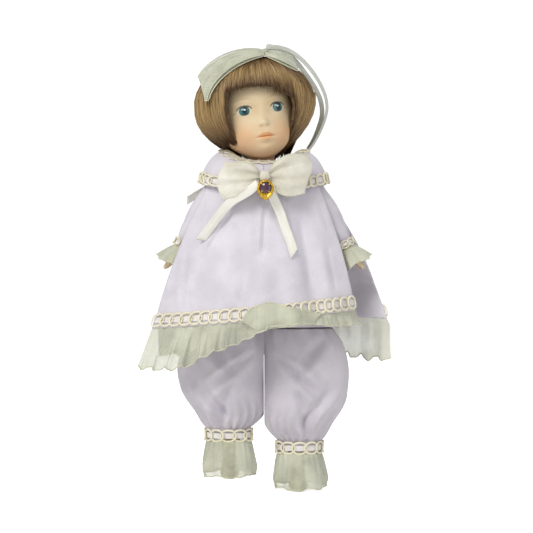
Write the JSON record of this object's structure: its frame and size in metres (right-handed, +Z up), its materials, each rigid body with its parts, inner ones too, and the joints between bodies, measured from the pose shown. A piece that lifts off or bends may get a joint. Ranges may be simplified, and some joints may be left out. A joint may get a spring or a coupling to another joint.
{
  "type": "porcelain doll",
  "caption": "Porcelain doll with bisque head, hands and feet on a stuffed body, in a flared smock, bloomers, organza ruffles, bow and brooch.",
  "frame": {"origin": "middle of the waist, where a doll stand grips the body", "axes": "+Z up through the body, -Y out of the chest, +X to the doll's own left"},
  "size_m": [0.1646, 0.1015, 0.2883],
  "materials": {
    "bisque": "unglazed bisque porcelain, matt with a faint sheen, painted face",
    "cork": "cork pate",
    "wig_net": "fine elastic net",
    "hair": "straight golden-brown synthetic hair with a soft shine",
    "organza": "sheer sage-cream organza with a rolled thread edge",
    "bow_organza": "sheer ivory organza",
    "hair_ribbon": "narrow pale grey ribbon",
    "satin": "ivory satin ribbon",
    "steel": "plated steel",
    "leather": "leather washer",
    "muslin": "unbleached cotton, stuffed",
    "lilac_cloth": "pale lilac woven cloth",
    "bloomer_cloth": "lilac-grey woven cloth with a soft sheen",
    "braid": "cream looped braid",
    "gilt": "polished gilt metal",
    "gem": "plum cut glass",
    "elastic": "woven elastic",
    "tie_cord": "waxed linen cord"
  },
  "bodies": {
    "torso": {"shoulder_plate": "bisque", "neck_bolt": "steel", "neck_washer": "leather", "neck_spring": "steel", "neck_nut": "steel", "cloth_body": "muslin", "smock_front": "lilac_cloth", "smock_back": "lilac_cloth", "hem_braid_front": "braid", "hem_braid_back": "braid", "hem_ruffle_front": "organza", "hem_ruffle_back": "organza", "collar": "lilac_cloth", "collar_braid": "braid", "neck_lace": "braid", "chest_bow_left": "bow_organza", "chest_bow_right": "bow_organza", "chest_bow_knot": "bow_organza", "ribbon_tail_left": "satin", "ribbon_tail_right": "satin", "back_ribbon": "satin", "brooch_setting": "gilt", "brooch_gem": "gem", "back_snaps": "steel", "bloomer_seat": "bloomer_cloth", "waist_elastic": "elastic"},
    "head": {"head_shell": "bisque", "crown_pate": "cork", "wig_cap": "wig_net", "wig": "hair", "hair_bow": "organza", "hair_bow_knot": "organza", "hair_ribbon_long": "hair_ribbon", "hair_ribbon_short": "hair_ribbon"},
    "left_arm": {"left_upper_arm": "muslin", "left_sleeve": "lilac_cloth"},
    "left_lower_arm": {"left_forearm": "bisque", "left_arm_tie": "tie_cord", "left_cuff_braid": "braid", "left_cuff_ruffle": "organza"},
    "left_upper_leg": {"left_thigh": "muslin", "left_bloomer": "bloomer_cloth"},
    "left_lower_leg": {"left_leg": "bisque", "left_leg_tie": "tie_cord", "left_ankle_braid": "braid", "left_ankle_ruffle": "organza"},
    "right_arm": {"right_upper_arm": "muslin", "right_sleeve": "lilac_cloth"},
    "right_lower_arm": {"right_forearm": "bisque", "right_arm_tie": "tie_cord", "right_cuff_braid": "braid", "right_cuff_ruffle": "organza"},
    "right_upper_leg": {"right_thigh": "muslin", "right_bloomer": "bloomer_cloth"},
    "right_lower_leg": {"right_leg": "bisque", "right_leg_tie": "tie_cord", "right_ankle_braid": "braid", "right_ankle_ruffle": "organza"}
  },
  "joints": [
    {"name": "head_turn", "type": "hinge", "parent": "torso", "child": "head", "pos_m": [0, 0, 0.061], "axis": [-0.1478, 0, 0.989], "range_deg": [-35, 25]},
    {"name": "left_shoulder", "type": "hinge", "parent": "torso", "child": "left_arm", "pos_m": [0.03, 0.002, 0.051], "axis": [0, -1, 0], "range_deg": [0, 45], "deforming": ["collar", "collar_braid"]},
    {"name": "left_elbow", "type": "hinge", "parent": "left_arm", "child": "left_lower_arm", "pos_m": [0.04309, 0.002, 0.02738], "axis": [0, -1, 0], "range_deg": [0, 30], "deforming": ["left_sleeve"]},
    {"name": "left_hip", "type": "hinge", "parent": "torso", "child": "left_upper_leg", "pos_m": [0.022, 0, -0.049], "axis": [-1, 0, 0], "range_deg": [-15, 65], "deforming": ["bloomer_seat", "left_bloomer", "hem_ruffle_front"]},
    {"name": "left_knee", "type": "hinge", "parent": "left_upper_leg", "child": "left_lower_leg", "pos_m": [0.022, 0, -0.091], "axis": [1, 0, 0], "range_deg": [0, 45], "deforming": ["left_bloomer"]},
    {"name": "right_shoulder", "type": "hinge", "parent": "torso", "child": "right_arm", "pos_m": [-0.03, 0.002, 0.051], "axis": [0, 1, 0], "range_deg": [0, 45], "deforming": ["collar", "collar_braid"]},
    {"name": "right_elbow", "type": "hinge", "parent": "right_arm", "child": "right_lower_arm", "pos_m": [-0.04309, 0.002, 0.02738], "axis": [0, 1, 0], "range_deg": [0, 30], "deforming": ["right_sleeve"]},
    {"name": "right_hip", "type": "hinge", "parent": "torso", "child": "right_upper_leg", "pos_m": [-0.022, 0, -0.049], "axis": [-1, 0, 0], "range_deg": [-15, 65], "deforming": ["bloomer_seat", "right_bloomer", "hem_ruffle_front"]},
    {"name": "right_knee", "type": "hinge", "parent": "right_upper_leg", "child": "right_lower_leg", "pos_m": [-0.022, 0, -0.083], "axis": [1, 0, 0], "range_deg": [0, 45], "deforming": ["right_bloomer"]}
  ]
}
